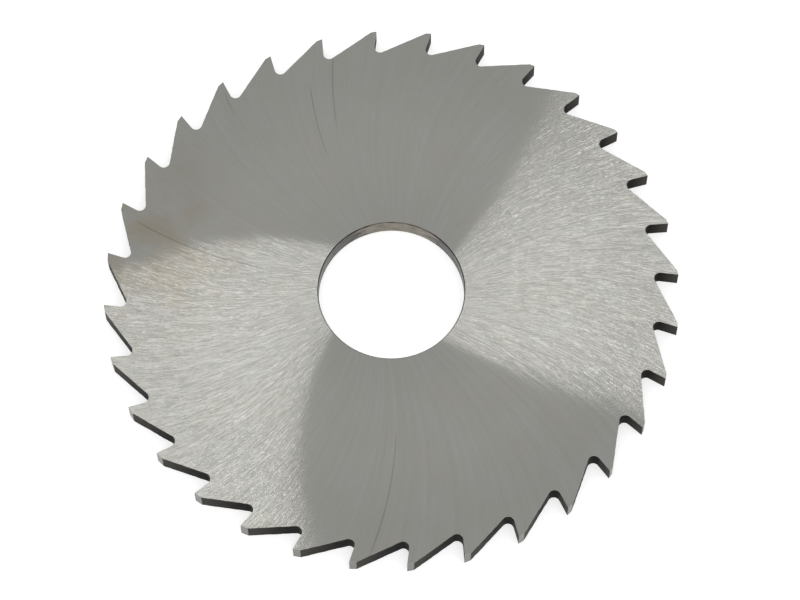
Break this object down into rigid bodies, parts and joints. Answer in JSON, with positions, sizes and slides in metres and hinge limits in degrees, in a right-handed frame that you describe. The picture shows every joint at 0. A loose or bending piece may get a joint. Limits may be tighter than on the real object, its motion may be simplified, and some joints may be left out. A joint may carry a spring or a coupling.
{
  "type": "slitting saw",
  "caption": "Flat round slitting saw with a plain bore, hollow ground sides and coarse hooked teeth round its edge.",
  "frame": {"origin": "on the bore's axis, at the plane that the tooth tips stand on", "axes": "+Z along the bore's axis, +X through a tooth tip; seen from +Z the teeth cut clockwise"},
  "size_m": [0.063, 0.063, 0.0025],
  "materials": {
    "ground_steel": "ground sides with curved grinding marks, dark milled gullets"
  },
  "bodies": {
    "root": {"saw_blade": "ground_steel"}
  },
  "joints": []
}
